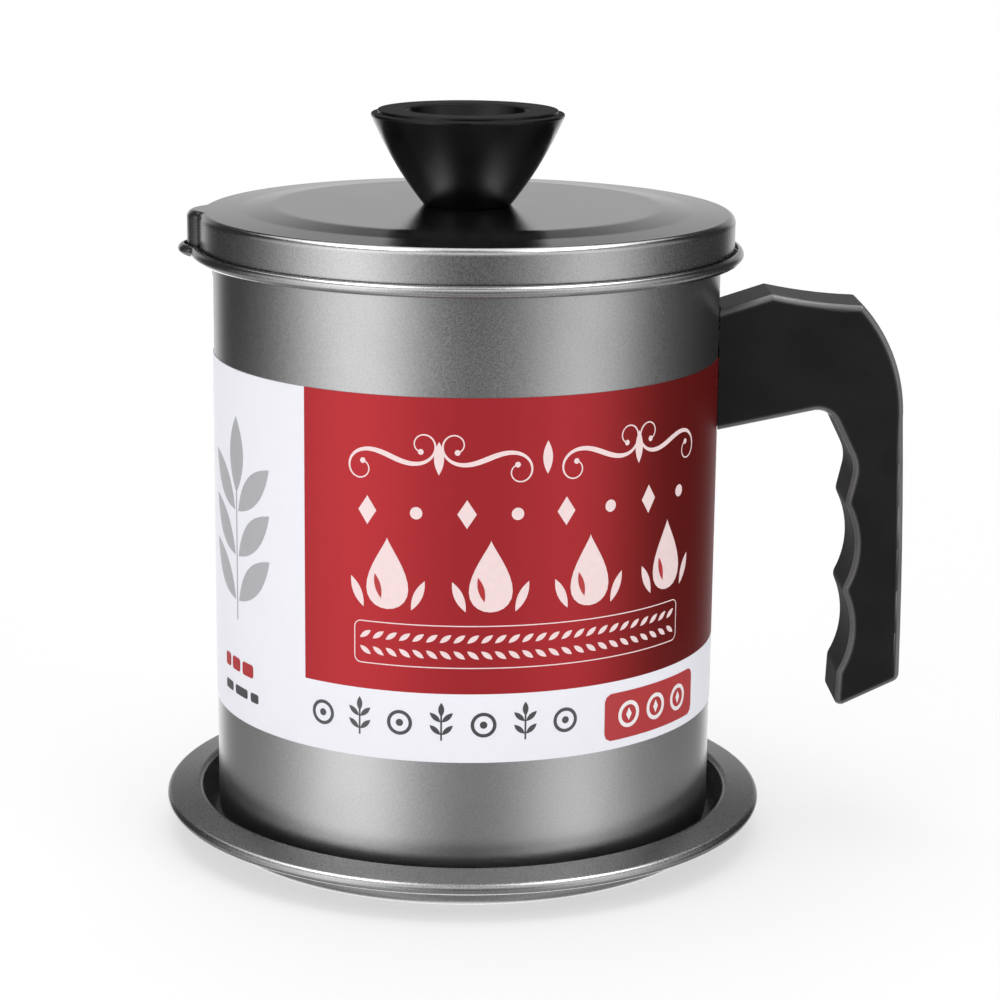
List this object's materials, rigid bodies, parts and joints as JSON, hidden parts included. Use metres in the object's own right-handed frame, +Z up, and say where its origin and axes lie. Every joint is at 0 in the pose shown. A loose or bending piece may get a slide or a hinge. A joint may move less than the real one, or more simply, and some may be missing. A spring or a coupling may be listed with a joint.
{
  "type": "oil strainer pot",
  "caption": "Coated steel pot for used cooking fat, with a lift-out mesh strainer, a knobbed lid with a pouring lip, a side handle and a drip saucer.",
  "frame": {"origin": "centre of the saucer's flat underside, on the surface that it stands on", "axes": "+Z up along the pot's axis, +X towards the handle, the pouring lip at -X"},
  "size_m": [0.1906, 0.1552, 0.1864],
  "materials": {
    "coated_steel": "non-stick coating, satin metallic grey",
    "mesh_steel": "stainless sheet and woven mesh",
    "fastener_steel": "zinc plated",
    "handle_plastic": "black phenolic, fine satin",
    "knob_plastic": "black phenolic, polished",
    "insert_brass": "turned",
    "label_paper": "printed coated paper"
  },
  "bodies": {
    "tray": {"tray": "coated_steel"},
    "pot": {"pot_body": "coated_steel", "label_sleeve": "label_paper", "handle_bracket": "fastener_steel", "bracket_nut": "fastener_steel", "handle": "handle_plastic", "handle_lock_washer": "fastener_steel", "handle_screw": "fastener_steel"},
    "strainer": {"strainer_rim": "mesh_steel", "strainer_mesh": "mesh_steel", "strainer_band": "mesh_steel"},
    "lid": {"lid_shell": "coated_steel", "knob": "knob_plastic", "knob_insert": "insert_brass", "knob_washer": "fastener_steel", "knob_screw": "fastener_steel"}
  },
  "joints": [
    {"name": "pot_lift", "type": "slide", "parent": "tray", "child": "pot", "axis": [0, 0, 1], "range_m": [0, 0.04]},
    {"name": "strainer_lift", "type": "slide", "parent": "pot", "child": "strainer", "axis": [0, 0, 1], "range_m": [0, 0.07]},
    {"name": "lid_lift", "type": "slide", "parent": "strainer", "child": "lid", "axis": [0, 0, 1], "range_m": [0, 0.06]}
  ]
}
